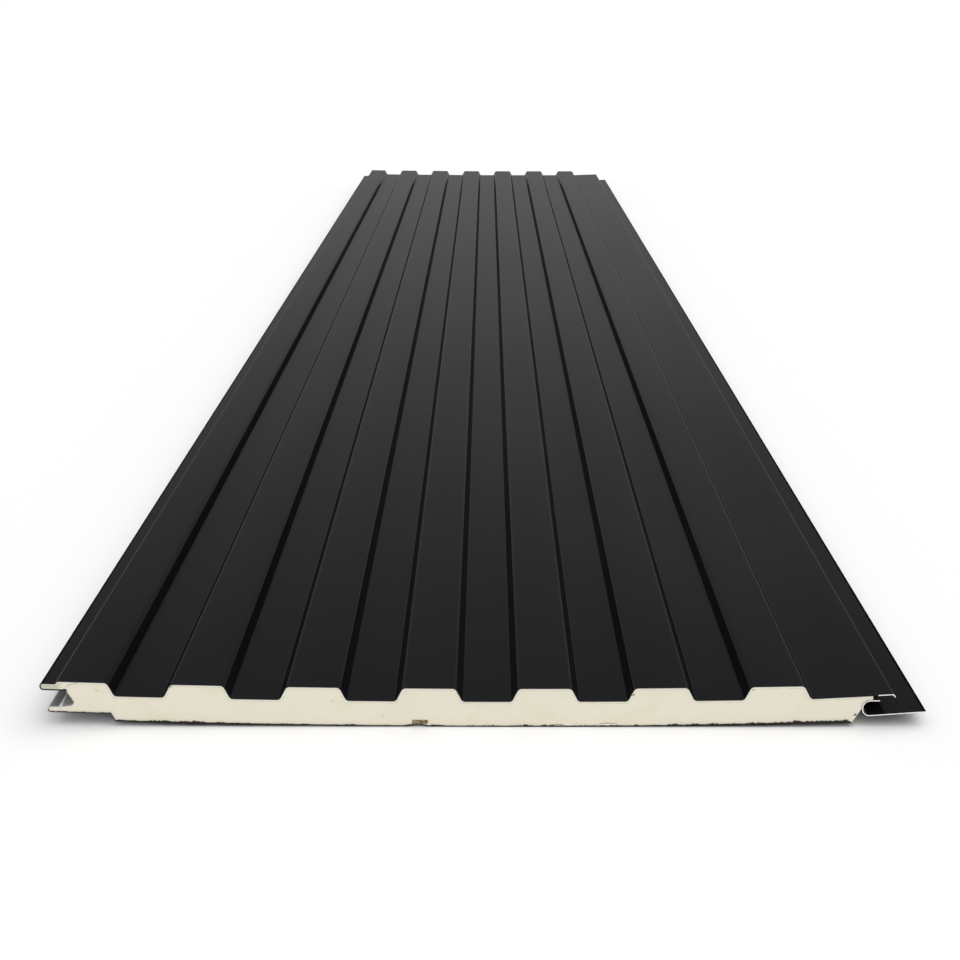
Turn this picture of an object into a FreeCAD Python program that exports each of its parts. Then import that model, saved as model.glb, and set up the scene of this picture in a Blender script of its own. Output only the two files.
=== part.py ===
"""Foam-backed metal siding panel with trapezoidal ribs, lying flat with its painted face up.

The section lies in X and Z and runs along Y. One pre-painted steel sheet is folded into the
ribs, the upper lip of the groove edge, the tongue, the pocket behind it and the nailing
flange. Rigid foam fills the space behind the sheet. A foil liner closes the back, wraps the
lower lip and lines the groove. An unfastened panel bows a little across its width, so its
long sides stand higher than its middle.
"""
import FreeCAD
import Part
import math
import os
from dataclasses import dataclass

from FreeCAD import Vector

# Whole panel, in millimetres
panel_length = 2000.0
panel_thickness = 20.0     # from the back to the crests
edge_bow = 2.8             # rise of the sides above the middle, half the ribbed width out

# Steel sheet and its ribs; every bend is given by its inside radius
sheet_thickness = 0.5
rib_count = 7
rib_pitch = 54.0
crest_width = 25.0
rib_wall_run = 3.3
rib_depth = 6.7
crest_bend = 2.3
valley_bend = 1.6
least_flat = 0.1           # left between the two bends of a nose

# Upper lip of the groove edge
first_crest_width = 23.5   # from the step up to the first rib's right corner
lip_step_run = 0.9
lip_step_drop = 1.3
lip_step_bend = 0.4
lip_reach = 7.1            # from the foot of the step to the nose
lip_thickness = 3.7
lip_bend = 1.3
lip_return = 12.0          # from the nose back along the underside
lip_notch = 70.0           # length of lip cut away at the far end

# Groove, lower lip and back recess, all in the foil liner
liner_thickness = 0.3
groove_height = 8.3
groove_depth = 16.2        # from the upper lip's nose to the deepest corner
groove_floor_rise = 1.2    # of the floor behind its crease
groove_bend = 1.5
crease_bend = 0.4
lower_lip_setback = 3.3    # behind the upper lip's nose
lower_lip_shelf = 5.9      # from the lower lip's nose to the crease in the floor
lower_lip_thickness = 2.9
lower_lip_bend = 1.0
recess_overrun = 1.0       # of the back recess past the first rib's right corner
recess_step_run = 2.0

# Tongue, pocket and nailing flange
joint_gap = 6.8            # what the joint adds to the last rib's pitch
tongue_clearance = 0.5     # from the nose to the back of the next panel's groove
tongue_play = 0.4          # from the tongue to the next panel's upper lip
tongue_height = 3.5        # of the folded nose
tongue_bend = 1.2
tongue_free = 10.3         # stretch of tongue with no foam behind it
fold_opening = 7.2         # width of fold cut away behind the nose, at the near end
fold_cutback = 15.0        # length of that cut
pocket_depth = 14.7        # from the nose to the back of the pocket
pocket_bend = 3.2
flange_reach = 14.6        # past the nose
flange_rise = 1.5          # from the pocket to the free edge
foam_heel = 4.8            # how far the foam's lower corner stands behind the pocket

# How far a cutting block reaches past what it cuts
cut_margin = 2.0

# Heights above the back
crest = panel_thickness
valley = crest - rib_depth
lip_top = crest - lip_step_drop
lip_under = lip_top - lip_thickness
groove_floor = lip_under - groove_height
lower_lip_under = groove_floor - lower_lip_thickness
tongue_top = lip_under - tongue_play
tongue_rise = tongue_top - valley
fold_under = tongue_top - tongue_height
flange_top = lower_lip_under    # the next panel's lower lip lies on the flange
pocket_height = fold_under - flange_top

# Places across the panel, from the middle of the ribs
half_span = rib_count * rib_pitch / 2
cover_width = rib_count * rib_pitch + joint_gap
first_corner = -half_span + rib_pitch / 2 + crest_width / 2
last_foot = half_span - rib_pitch / 2 + crest_width / 2 + rib_wall_run
step_top = first_corner - first_crest_width
step_foot = step_top - lip_step_run
lip_nose = step_foot - lip_reach
return_end = lip_nose + lip_return
groove_end = lip_nose + groove_depth
lower_lip_nose = lip_nose + lower_lip_setback
crease = lower_lip_nose + lower_lip_shelf
recess_top = first_corner + recess_overrun
recess_foot = recess_top + recess_step_run
groove_wall_lean = (groove_end - return_end) / (groove_height - groove_floor_rise)
groove_wall = return_end + groove_wall_lean * (lip_under - tongue_top + tongue_height / 2)
tongue_nose = groove_wall + cover_width - tongue_clearance
foam_end = tongue_nose - tongue_free
fold_end = tongue_nose - fold_opening
pocket_back = tongue_nose - pocket_depth
flange_edge = tongue_nose + flange_reach
foam_toe = pocket_back - foam_heel

# Bends of the noses and the pocket, no larger than their walls leave room for
lip_round = min(lip_bend, (lip_thickness - least_flat) / 2 - sheet_thickness)
lower_lip_round = min(lower_lip_bend, (lower_lip_thickness - least_flat) / 2 - liner_thickness)
tongue_round = min(tongue_bend, (tongue_height - least_flat) / 2 - sheet_thickness)
pocket_room = min((pocket_height - least_flat) / 2, foam_end - pocket_back - sheet_thickness - least_flat)
pocket_round = min(pocket_bend, pocket_room)


@dataclass(frozen=True)
class Corner:
    """A corner of a section line, with the inside radius of its bend and a name to find it by."""

    x: float
    z: float
    bend: float = 0.0
    name: str = ""


@dataclass(frozen=True)
class Turn:
    """Where a line enters a corner and leaves it, and the middle of the arc between, if any."""

    entry: Vector
    middle: Vector | None
    leave: Vector


def bowed(x, z):
    """Place a point of the flat section on the bowed panel, square to the bowed face."""
    lean = 2 * edge_bow * x / half_span**2
    rise = edge_bow * (x / half_span) ** 2
    return Vector(x + lean * (crest - z), 0, z + rise)


def inward(way):
    """Direction square to a run, towards the inside of the sheet, which lies on its right."""
    return Vector(way.z, 0, -way.x)


def turn_at(corner, point, way_in, way_out, thickness, depth):
    """Work out the turn at a corner, on the line that lies at a depth inside the sheet."""
    inward_in = inward(way_in)
    inward_out = inward(way_out)
    mitre = depth / (1 + inward_in.dot(inward_out))
    tip = point + (inward_in + inward_out) * mitre
    if corner.bend == 0:
        return Turn(tip, None, tip)
    turns_inward = way_out.dot(inward_in) > 0
    radius = corner.bend + (thickness - depth if turns_inward else depth)
    reach = radius * math.tan(way_in.getAngle(way_out) / 2)
    entry = tip - way_in * reach
    leave = tip + way_out * reach
    centre = entry + inward_in * (radius if turns_inward else -radius)
    spoke = (tip - centre).normalize()
    return Turn(entry, centre + spoke * radius, leave)


def folded_line(corners, thickness, depth, first=None, last=None):
    """Edges of the line at a depth inside a folded sheet, between two named corners.

    Depth 0 is the outer side and the sheet's thickness is the inner side, so that both
    sides of a sheet, and the foam against it, come from the same corners.
    """
    points = [bowed(corner.x, corner.z) for corner in corners]
    ways = [(b - a).normalize() for a, b in zip(points, points[1:])]
    start = points[0] + inward(ways[0]) * depth
    end = points[-1] + inward(ways[-1]) * depth
    turns = [Turn(start, None, start)]
    for index in range(1, len(corners) - 1):
        way_in, way_out = ways[index - 1], ways[index]
        turns.append(turn_at(corners[index], points[index], way_in, way_out, thickness, depth))
    turns.append(Turn(end, None, end))
    names = [corner.name for corner in corners]
    low = names.index(first) if first else 0
    high = names.index(last) if last else len(corners) - 1
    edges = []
    for index in range(low, high):
        here, after = turns[index], turns[index + 1]
        edges.append(Part.LineSegment(here.leave, after.entry).toShape())
        if after.middle and index + 1 < high:
            edges.append(Part.Arc(after.entry, after.middle, after.leave).toShape())
    return edges


def first_point(edges):
    """Start of a run of edges."""
    return edges[0].firstVertex(True).Point


def last_point(edges):
    """End of a run of edges."""
    return edges[-1].lastVertex(True).Point


def bridge(start, end):
    """Straight edge from one point to another."""
    return Part.LineSegment(start, end).toShape()


def closed_face(*stretches):
    """Face inside stretches of edges, joined in order by straight edges where they part."""
    loop = []
    for index, stretch in enumerate(stretches):
        loop.extend(stretch)
        gap_start = last_point(stretch)
        gap_end = first_point(stretches[(index + 1) % len(stretches)])
        if gap_start.distanceToPoint(gap_end) > Part.Precision.confusion():
            loop.append(bridge(gap_start, gap_end))
    return Part.Face(Part.Wire(loop))


def reversed_edges(edges):
    """The same stretch, run the other way."""
    backward = []
    for edge in reversed(edges):
        curve = edge.Curve
        start = edge.lastVertex(True).Point
        end = edge.firstVertex(True).Point
        if isinstance(curve, Part.Line):
            backward.append(bridge(start, end))
        else:
            middle = edge.valueAt((edge.FirstParameter + edge.LastParameter) / 2)
            backward.append(Part.Arc(start, middle, end).toShape())
    return backward


def folded_sheet(corners, thickness):
    """Section of a sheet folded along its corners."""
    outer = folded_line(corners, thickness, 0)
    inner = folded_line(corners, thickness, thickness)
    return closed_face(outer, reversed_edges(inner))


def along_panel(section, start, length):
    """Carry a section along the panel, from a distance behind the near end."""
    solid = section.extrude(Vector(0, length, 0))
    solid.translate(Vector(0, start - panel_length / 2, 0))
    return solid


def cutting_block(outline, start, length):
    """Block over an outline of the flat section, to cut away a stretch of an edge."""
    points = [bowed(x, z) for x, z in outline]
    section = Part.Face(Part.makePolygon(points + points[:1]))
    return along_panel(section, start, length)


def rib_corners():
    """Corners of the ribs, from the first rib's right corner to the foot of the last."""
    corners = []
    for rib in range(rib_count):
        right = first_corner + rib * rib_pitch
        corners.append(Corner(right, crest, crest_bend))
        corners.append(Corner(right + rib_wall_run, valley, valley_bend))
        if rib < rib_count - 1:
            left = right + rib_pitch - crest_width
            corners.append(Corner(left - rib_wall_run, valley, valley_bend))
            corners.append(Corner(left, crest, crest_bend))
    return corners


def face_corners():
    """Corners of the steel sheet's painted side, from the lip's return to the flange edge."""
    lip = [
        Corner(return_end, lip_under),
        Corner(lip_nose, lip_under, lip_round),
        Corner(lip_nose, lip_top, lip_round),
        Corner(step_foot, lip_top, lip_step_bend),
        Corner(step_top, crest, lip_step_bend),
    ]
    foam_end_share = (foam_end - last_foot) / (tongue_nose - last_foot)
    tongue = [
        Corner(foam_end, valley + tongue_rise * foam_end_share, name="foam end"),
        Corner(tongue_nose, tongue_top, tongue_round),
        Corner(tongue_nose, fold_under, tongue_round),
        Corner(foam_end, fold_under, name="fold on foam"),
    ]
    pocket = [
        Corner(pocket_back, fold_under, pocket_round),
        Corner(pocket_back, fold_under - pocket_height / 2, name="pocket back"),
        Corner(pocket_back, flange_top, pocket_round),
        Corner(flange_edge, flange_top + flange_rise),
    ]
    return lip + rib_corners() + tongue + pocket


def liner_corners():
    """Corners of the liner's outer side, from the foam's toe to the end of the lip's return."""
    toe = [Corner(foam_toe, 0)]
    back = []
    for valley_index in range(rib_count - 1, 0, -1):
        back.append(Corner(valley_index * rib_pitch - half_span, 0))
    recess = [
        Corner(recess_foot, 0),
        Corner(recess_top, lower_lip_under),
    ]
    lower_lip = [
        Corner(lower_lip_nose, lower_lip_under, lower_lip_round),
        Corner(lower_lip_nose, groove_floor, lower_lip_round),
    ]
    groove = [
        Corner(crease, groove_floor, crease_bend),
        Corner(groove_end, groove_floor + groove_floor_rise, groove_bend),
        Corner(return_end, lip_under),
    ]
    return toe + back + recess + lower_lip + groove


def make_face_sheet():
    """Steel sheet, with the lip notched at the far end and the fold opened at the near end."""
    sheet = along_panel(folded_sheet(face_corners(), sheet_thickness), 0, panel_length)
    fold_middle = tongue_top - tongue_height / 2
    fold_outline = [
        (fold_end, fold_under - cut_margin),
        (tongue_nose + cut_margin, fold_under - cut_margin),
        (tongue_nose + cut_margin, fold_middle),
        (fold_end, fold_middle),
    ]
    sheet = sheet.cut(cutting_block(fold_outline, -cut_margin, fold_cutback + cut_margin))
    return sheet.cut(lip_notch_block())


def lip_notch_block():
    """Block that takes the upper lip away over the notch, from the step down to the return."""
    outline = [
        (return_end, lip_under - cut_margin),
        (return_end, lip_under + sheet_thickness),
        (step_foot, lip_top + cut_margin),
        (lip_nose - cut_margin, lip_top + cut_margin),
        (lip_nose - cut_margin, lip_under - cut_margin),
    ]
    return cutting_block(outline, panel_length - lip_notch, lip_notch + cut_margin)


def make_foam_core():
    """Foam that fills the space between the sheet and the liner."""
    face = face_corners()
    under_face = folded_line(face, sheet_thickness, sheet_thickness, last="foam end")
    on_pocket = folded_line(face, sheet_thickness, sheet_thickness, "fold on foam", "pocket back")
    on_liner = folded_line(liner_corners(), liner_thickness, liner_thickness)
    lip_seam = [bridge(bowed(return_end, lip_under), first_point(under_face))]
    section = closed_face(under_face, on_pocket, on_liner, lip_seam)
    return along_panel(section, 0, panel_length).cut(lip_notch_block())


def make_back_liner():
    """Foil liner of the back, the lower lip and the groove."""
    section = folded_sheet(liner_corners(), liner_thickness)
    return along_panel(section, 0, panel_length)


def to_bottom_centre(solids):
    """Move all solids so that the origin is under the middle of the panel's box."""
    box = Part.makeCompound(list(solids.values())).optimalBoundingBox(False)
    for solid in solids.values():
        solid.translate(Vector(-box.Center.x, -box.Center.y, -box.ZMin))


def main():
    """Build the three pieces and write each to its own file."""
    solids = {
        "face_sheet": make_face_sheet(),
        "foam_core": make_foam_core(),
        "back_liner": make_back_liner(),
    }
    to_bottom_centre(solids)
    os.makedirs("parts", exist_ok=True)
    for node, solid in solids.items():
        solid.exportStep(f"parts/{node}.step")


main()
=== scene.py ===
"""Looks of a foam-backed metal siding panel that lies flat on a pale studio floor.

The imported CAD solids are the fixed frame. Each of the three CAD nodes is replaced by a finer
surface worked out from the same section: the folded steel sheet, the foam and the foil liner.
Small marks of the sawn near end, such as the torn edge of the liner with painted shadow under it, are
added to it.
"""

import logging
import math
from collections.abc import Mapping, Sequence
from dataclasses import dataclass
from enum import Enum, IntEnum
from typing import NamedTuple

import bmesh
import bpy
import numpy as np
from mathutils import Matrix, Vector


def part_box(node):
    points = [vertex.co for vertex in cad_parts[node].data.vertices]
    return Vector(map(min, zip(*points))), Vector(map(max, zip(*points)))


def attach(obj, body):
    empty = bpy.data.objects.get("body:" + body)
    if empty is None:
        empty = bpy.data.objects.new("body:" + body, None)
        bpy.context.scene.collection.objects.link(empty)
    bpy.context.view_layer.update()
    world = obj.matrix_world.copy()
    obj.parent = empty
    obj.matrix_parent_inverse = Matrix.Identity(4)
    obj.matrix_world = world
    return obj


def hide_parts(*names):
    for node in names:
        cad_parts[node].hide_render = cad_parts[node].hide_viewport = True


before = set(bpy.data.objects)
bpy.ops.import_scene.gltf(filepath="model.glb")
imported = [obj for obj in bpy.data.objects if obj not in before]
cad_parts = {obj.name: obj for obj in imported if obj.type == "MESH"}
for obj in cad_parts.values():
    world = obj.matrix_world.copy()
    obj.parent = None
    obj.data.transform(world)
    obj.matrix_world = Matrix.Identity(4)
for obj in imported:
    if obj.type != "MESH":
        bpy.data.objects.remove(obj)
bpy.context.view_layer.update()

Array = np.ndarray
Socket = bpy.types.NodeSocket
Colour = tuple[float, float, float]
Factors = tuple[float, float, float]
Limits = tuple[float, float]
Point = tuple[float, float]
Inputs = Mapping[str | int, Socket | float | Colour | Factors]

MM = 0.001
WELD = 0.001 * MM
PICTURE_PIXELS = 960
SENSOR_WIDTH = 36.0
BODY = "root"
DEPTH = "depth_under_sheet"

logging.basicConfig(level=logging.INFO, format="%(levelname)s %(message)s")
log = logging.getLogger("siding_panel")


class Node(Enum):
    """CAD nodes that the finer surfaces stand for."""

    FACE_SHEET = "face_sheet"
    FOAM_CORE = "foam_core"
    BACK_LINER = "back_liner"


class Slot(Enum):
    """Material slots of the record."""

    STEEL = "painted_steel"
    FOAM = "foam"
    LINER = "foil_liner"


class Side(IntEnum):
    """Sides of a thin shell."""

    OUTER = 0
    INNER = 1
    NEAR = 2
    FAR = 3
    LEFT = 4
    RIGHT = 5


class SheetLook(IntEnum):
    """Finishes of the steel sheet, in the order of its material list."""

    PAINT = 0
    BACK_COAT = 1
    DARK_EDGE = 2
    BARE_EDGE = 3
    # Painted highlight: lighter paint on the step's top bend.
    RUBBED_PAINT = 4
    # Painted shade: darker paint with little coat on the lip's bends and the flange border.
    DULL_PAINT = 5


class LinerLook(IntEnum):
    """Finishes of the liner, in the order of its material list."""

    FOIL = 0
    PAPER = 1
    # Painted light: a lighter copy of the same foil inside the groove.
    GROOVE_BACK = 2
    CUT_EDGE = 3


# Section of the panel


class Corner(NamedTuple):
    """A corner of a section line, with the inside radius of its bend and a name to find it by."""

    x: float
    z: float
    bend: float = 0.0
    name: str = ""


class Line(NamedTuple):
    """Points of a section line, the corner that each belongs to and the names of the corners."""

    points: Array
    owners: Array
    names: tuple[str, ...]

    def number(self, name: str) -> int:
        """Number of a named corner."""
        return self.names.index(name)

    def places(self, name: str) -> Array:
        """Places in the line of the points that belong to a named corner."""
        return np.flatnonzero(self.owners == self.number(name))

    def point_names(self) -> Array:
        """Name of the corner that each point belongs to."""
        return np.array(self.names)[self.owners]


@dataclass(frozen=True)
class PanelSizes:
    """Sizes of the panel's section, in metres, as the CAD solids have them."""

    panel_thickness: float = 20.0 * MM
    edge_bow: float = 2.8 * MM
    far_bow: float = 0.9 * MM
    sheet: float = 0.5 * MM
    liner: float = 0.3 * MM
    rib_count: int = 7
    rib_pitch: float = 54.0 * MM
    crest_width: float = 25.0 * MM
    rib_wall_run: float = 3.3 * MM
    rib_depth: float = 6.7 * MM
    crest_bend: float = 2.3 * MM
    valley_bend: float = 1.6 * MM
    first_crest_width: float = 23.5 * MM
    lip_step_run: float = 0.9 * MM
    lip_step_drop: float = 1.3 * MM
    lip_step_bend: float = 0.4 * MM
    lip_reach: float = 7.1 * MM
    lip_thickness: float = 3.7 * MM
    lip_bend: float = 1.3 * MM
    lip_return: float = 12.0 * MM
    lip_notch: float = 70.0 * MM
    groove_height: float = 8.3 * MM
    groove_depth: float = 16.2 * MM
    groove_floor_rise: float = 1.2 * MM
    groove_bend: float = 1.5 * MM
    crease_bend: float = 0.4 * MM
    lower_lip_setback: float = 3.3 * MM
    lower_lip_shelf: float = 5.9 * MM
    lower_lip_thickness: float = 2.9 * MM
    lower_lip_bend: float = 1.0 * MM
    recess_overrun: float = 1.0 * MM
    recess_step_run: float = 2.0 * MM
    joint_gap: float = 6.8 * MM
    tongue_clearance: float = 0.5 * MM
    tongue_play: float = 0.4 * MM
    tongue_height: float = 3.5 * MM
    tongue_bend: float = 1.15 * MM
    tongue_free: float = 10.3 * MM
    dark_tongue: float = 2.3 * MM
    fold_opening: float = 7.2 * MM
    frayed_fold: float = 2.4 * MM
    frays: int = 5
    fold_cutback: float = 15.0 * MM
    pocket_depth: float = 14.7 * MM
    pocket_bend: float = 3.2 * MM
    flange_reach: float = 14.6 * MM
    flange_rise: float = 1.5 * MM
    flange_border: float = 1.2 * MM
    foam_heel: float = 4.8 * MM


class PanelSection:
    """Section lines of the panel, bowed and placed in the frame.

    A line runs through corners of the flat section. Each point is bowed by lifting it by the
    bow times the square of its share of the half span, and leaning it square to the face.
    """

    ARC_STEPS = 8

    def __init__(self, sizes: PanelSizes) -> None:
        """Work out heights and places of the flat section.

        Args:
            sizes: Driving sizes of the section.
        """
        s = self.sizes = sizes
        self.offset = np.zeros(2)
        self.crest = s.panel_thickness
        self.valley = self.crest - s.rib_depth
        self.lip_top = self.crest - s.lip_step_drop
        self.lip_under = self.lip_top - s.lip_thickness
        self.groove_floor = self.lip_under - s.groove_height
        self.lower_lip_under = self.groove_floor - s.lower_lip_thickness
        self.tongue_top = self.lip_under - s.tongue_play
        self.fold_under = self.tongue_top - s.tongue_height
        self.half_span = s.rib_count * s.rib_pitch / 2
        self.first_corner = -self.half_span + s.rib_pitch / 2 + s.crest_width / 2
        self.last_foot = self.half_span - s.rib_pitch / 2 + s.crest_width / 2 + s.rib_wall_run
        self.step_top = self.first_corner - s.first_crest_width
        self.step_foot = self.step_top - s.lip_step_run
        self.lip_nose = self.step_foot - s.lip_reach
        self.return_end = self.lip_nose + s.lip_return
        self.groove_end = self.lip_nose + s.groove_depth
        self.lower_lip_nose = self.lip_nose + s.lower_lip_setback
        self.crease = self.lower_lip_nose + s.lower_lip_shelf
        self.recess_top = self.first_corner + s.recess_overrun
        wall_lean = (self.groove_end - self.return_end) / (s.groove_height - s.groove_floor_rise)
        groove_wall = self.return_end + wall_lean * (s.tongue_play + s.tongue_height / 2)
        cover_width = s.rib_count * s.rib_pitch + s.joint_gap
        self.tongue_nose = groove_wall + cover_width - s.tongue_clearance
        self.foam_end = self.tongue_nose - s.tongue_free
        self.pocket_back = self.tongue_nose - s.pocket_depth
        self.foam_toe = self.pocket_back - s.foam_heel

    def sheet_lines(self) -> tuple[Line, Line]:
        """Painted side and back of the steel sheet, from the lip's return to the flange edge."""
        corners = self._lip_corners() + self._rib_corners() + self._tongue_corners()
        return self._both_sides(corners, self.sizes.sheet)

    def liner_lines(self) -> tuple[Line, Line]:
        """Outer and inner side of the liner, from the foam's toe to the lip's return."""
        return self._both_sides(self._liner_corners(), self.sizes.liner)

    def _lip_corners(self) -> list[Corner]:
        """Corners of the upper lip, from the end of its return to the top of its step.

        Returns:
            The corners.
        """
        s = self.sizes
        return [
            Corner(self.return_end, self.lip_under),
            Corner(self.lip_nose, self.lip_under, s.lip_bend, "lip under"),
            Corner(self.lip_nose, self.lip_top, s.lip_bend, "lip nose"),
            Corner(self.step_foot, self.lip_top, s.lip_step_bend),
            Corner(self.step_top, self.crest, s.lip_step_bend, "step top"),
        ]

    def _rib_corners(self) -> list[Corner]:
        """Corners of the ribs, from the first one's right corner to the last one's right foot.

        Returns:
            The corners.
        """
        s = self.sizes
        ribs = []
        for rib in range(s.rib_count):
            right = self.first_corner + rib * s.rib_pitch
            ribs.append(Corner(right, self.crest, s.crest_bend))
            ribs.append(Corner(right + s.rib_wall_run, self.valley, s.valley_bend))
            left = right + s.rib_pitch - s.crest_width
            ribs.append(Corner(left - s.rib_wall_run, self.valley, s.valley_bend))
            ribs.append(Corner(left, self.crest, s.crest_bend))
        return ribs[:-2]

    def _tongue_corners(self) -> list[Corner]:
        """Corners of the tongue, its fold, the pocket and the flange.

        Returns:
            The corners.
        """
        s = self.sizes
        pocket_middle = (self.fold_under + self.lower_lip_under) / 2
        fold_end = self.tongue_nose - s.fold_opening
        bright_start = self.foam_end + s.dark_tongue
        frays = np.linspace(fold_end, fold_end - s.frayed_fold, s.frays + 1)[1:]
        flange_run = s.pocket_depth + s.flange_reach
        border = 1 - s.flange_border / flange_run
        border_height = self.lower_lip_under + s.flange_rise * border
        return [
            Corner(self.foam_end, self._on_tongue(self.foam_end), name="foam end"),
            Corner(bright_start, self._on_tongue(bright_start), name="bright edge"),
            Corner(self.tongue_nose, self.tongue_top, s.tongue_bend, "nose"),
            Corner(self.tongue_nose, self.fold_under, s.tongue_bend),
            Corner(fold_end, self.fold_under, name="fold end"),
            *(Corner(x, self.fold_under, name="fray") for x in frays),
            Corner(self.foam_end, self.fold_under, name="fold on foam"),
            Corner(self.pocket_back, self.fold_under, s.pocket_bend),
            Corner(self.pocket_back, pocket_middle, name="pocket back"),
            Corner(self.pocket_back, self.lower_lip_under, s.pocket_bend),
            Corner(self.pocket_back + flange_run * border, border_height, name="flange border"),
            Corner(self.pocket_back + flange_run, self.lower_lip_under + s.flange_rise),
        ]

    def _on_tongue(self, x: float) -> float:
        """Height of the tongue's top at a place between the last rib's foot and the nose."""
        share = (x - self.last_foot) / (self.tongue_nose - self.last_foot)
        return self.valley + (self.tongue_top - self.valley) * share

    def _liner_corners(self) -> list[Corner]:
        """Corners of the liner's outer side; its back is made of flat facets, one rib wide.

        Returns:
            The corners.
        """
        s = self.sizes
        facets = [i * s.rib_pitch - self.half_span for i in range(s.rib_count - 1, 0, -1)]
        groove_back = self.groove_floor + s.groove_floor_rise
        return [
            Corner(self.foam_toe, 0.0),
            *(Corner(x, 0.0) for x in facets),
            Corner(self.recess_top + s.recess_step_run, 0.0),
            Corner(self.recess_top, self.lower_lip_under),
            Corner(self.lower_lip_nose, self.lower_lip_under, s.lower_lip_bend),
            Corner(self.lower_lip_nose, self.groove_floor, s.lower_lip_bend, "lower lip"),
            Corner(self.crease, self.groove_floor, s.crease_bend, "crease"),
            Corner(self.groove_end, groove_back, s.groove_bend),
            Corner(self.return_end, self.lip_under),
        ]

    def bowed(self, flat: Array) -> Array:
        """Bow points of the flat section and place them in the frame.

        Args:
            flat: Points with X and Z in the last axis.

        Returns:
            The placed points, in the same shape.
        """
        x, z = flat[..., 0], flat[..., 1]
        lean = 2 * self.sizes.edge_bow * x / self.half_span**2
        lifted = z + self.sizes.edge_bow * (x / self.half_span) ** 2
        return np.stack([x + lean * (self.crest - z), lifted], axis=-1) + self.offset

    def _both_sides(self, corners: Sequence[Corner], thickness: float) -> tuple[Line, Line]:
        """Outer and inner line of a folded sheet."""
        return self._line(corners, thickness, 0.0), self._line(corners, thickness, thickness)

    def _line(self, corners: Sequence[Corner], thickness: float, depth: float) -> Line:
        """Line at a depth inside a folded sheet, with an arc at each bend.

        A corner's tip lies where both runs, moved inwards by the depth, meet. The arc starts
        before the tip by its radius times the tangent of half the turn, and its spoke turns
        evenly from the first run's side to the second's.

        Args:
            corners: Corners of the sheet's outer side; the inside lies on the right.
            thickness: Thickness of the sheet.
            depth: 0 for the outer side, the thickness for the inner side.

        Returns:
            The line.
        """
        points = self.bowed(np.array([(corner.x, corner.z) for corner in corners]))
        bends = np.array([corner.bend for corner in corners])
        runs = np.diff(points, axis=0)
        runs /= np.linalg.norm(runs, axis=1, keepdims=True)
        way_in, way_out = np.vstack([runs[:1], runs]), np.vstack([runs, runs[-1:]])
        in_square = np.stack([way_in[:, 1], -way_in[:, 0]], axis=1)
        out_square = np.stack([way_out[:, 1], -way_out[:, 0]], axis=1)
        mitre = depth / (1 + np.sum(in_square * out_square, axis=1))
        tips = points + (in_square + out_square) * mitre[:, None]
        inward = np.sum(way_out * in_square, axis=1) > 0
        radius = np.where(bends > 0, bends + np.where(inward, thickness - depth, depth), 0.0)
        angle = np.arccos(np.clip(np.sum(way_in * way_out, axis=1), -1.0, 1.0))
        spoke = -in_square * (radius * np.where(inward, 1.0, -1.0))[:, None]
        centre = tips - way_in * (radius * np.tan(angle / 2))[:, None] - spoke
        share = np.linspace(0.0, 1.0, self.ARC_STEPS + 1)
        turn = np.where(inward, -1.0, 1.0)[:, None] * angle[:, None] * share
        cosine, sine = np.cos(turn), np.sin(turn)
        arc_x = centre[:, :1] + spoke[:, :1] * cosine - spoke[:, 1:] * sine
        arc_z = centre[:, 1:] + spoke[:, :1] * sine + spoke[:, 1:] * cosine
        kept = (bends > 0)[:, None] | (share == 0)
        owners = np.broadcast_to(np.arange(len(corners))[:, None], kept.shape)
        names = tuple(corner.name for corner in corners)
        return Line(np.stack([arc_x[kept], arc_z[kept]], axis=1), owners[kept], names)

    def place_in(self, sheet_low: Vector, liner_low: Vector) -> None:
        """Set the section where the CAD solids have it.

        Args:
            sheet_low: Lowest corner of the steel sheet's CAD box.
            liner_low: Lowest corner of the liner's CAD box.
        """
        face = self.sheet_lines()[0].points
        back = self.liner_lines()[0].points
        self.offset = np.array([sheet_low.x - face[:, 0].min(), liner_low.z - back[:, 1].min()])


# Surfaces


def placed(x: Array | float, y: Array | float, z: Array | float) -> Array:
    """Points from their coordinates, which are broadcast against each other."""
    return np.stack(np.broadcast_arrays(x, y, z), axis=-1)


def set_along(flat: Array, station: Array | float) -> Array:
    """Points of the section, with X and Z in the last axis, set at a station along the panel."""
    return placed(flat[..., 0], station, flat[..., 1])


def walked(line: Array) -> Array:
    """Distance along a line at each of its points."""
    lengths = np.linalg.norm(np.diff(line, axis=0), axis=1)
    return np.concatenate([[0.0], np.cumsum(lengths)])


def shares_of(line: Array) -> Array:
    """Share of the line's length at each of its points."""
    distance = walked(line)
    return distance / distance[-1]


def along(line: Array, wanted: Array, known: Array) -> Array:
    """Points on a line, found from a measure that is known at each of its points.

    Args:
        line: Points of the line, X and Z.
        wanted: Measures to give a point for.
        known: Measure at each point of the line, rising along it.

    Returns:
        One point per measure, on the straight run between the points around it.
    """
    return np.stack([np.interp(wanted, known, column) for column in line.T], axis=1)


@dataclass(frozen=True)
class Ragged:
    """Uneven heights between 0 and 1: random values at even knots, joined by straight runs."""

    pitch: float
    seed: int

    def heights(self, places: Array) -> Array:
        """Height at each of a row of places."""
        knots = np.arange(places.min() - self.pitch, places.max() + 2 * self.pitch, self.pitch)
        return np.interp(places, knots, np.random.default_rng(self.seed).random(len(knots)))


class ShellQuads(NamedTuple):
    """Quads of a shell as point numbers, outer grid first, and the side and column of each."""

    corners: Array
    sides: Array
    columns: Array


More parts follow.
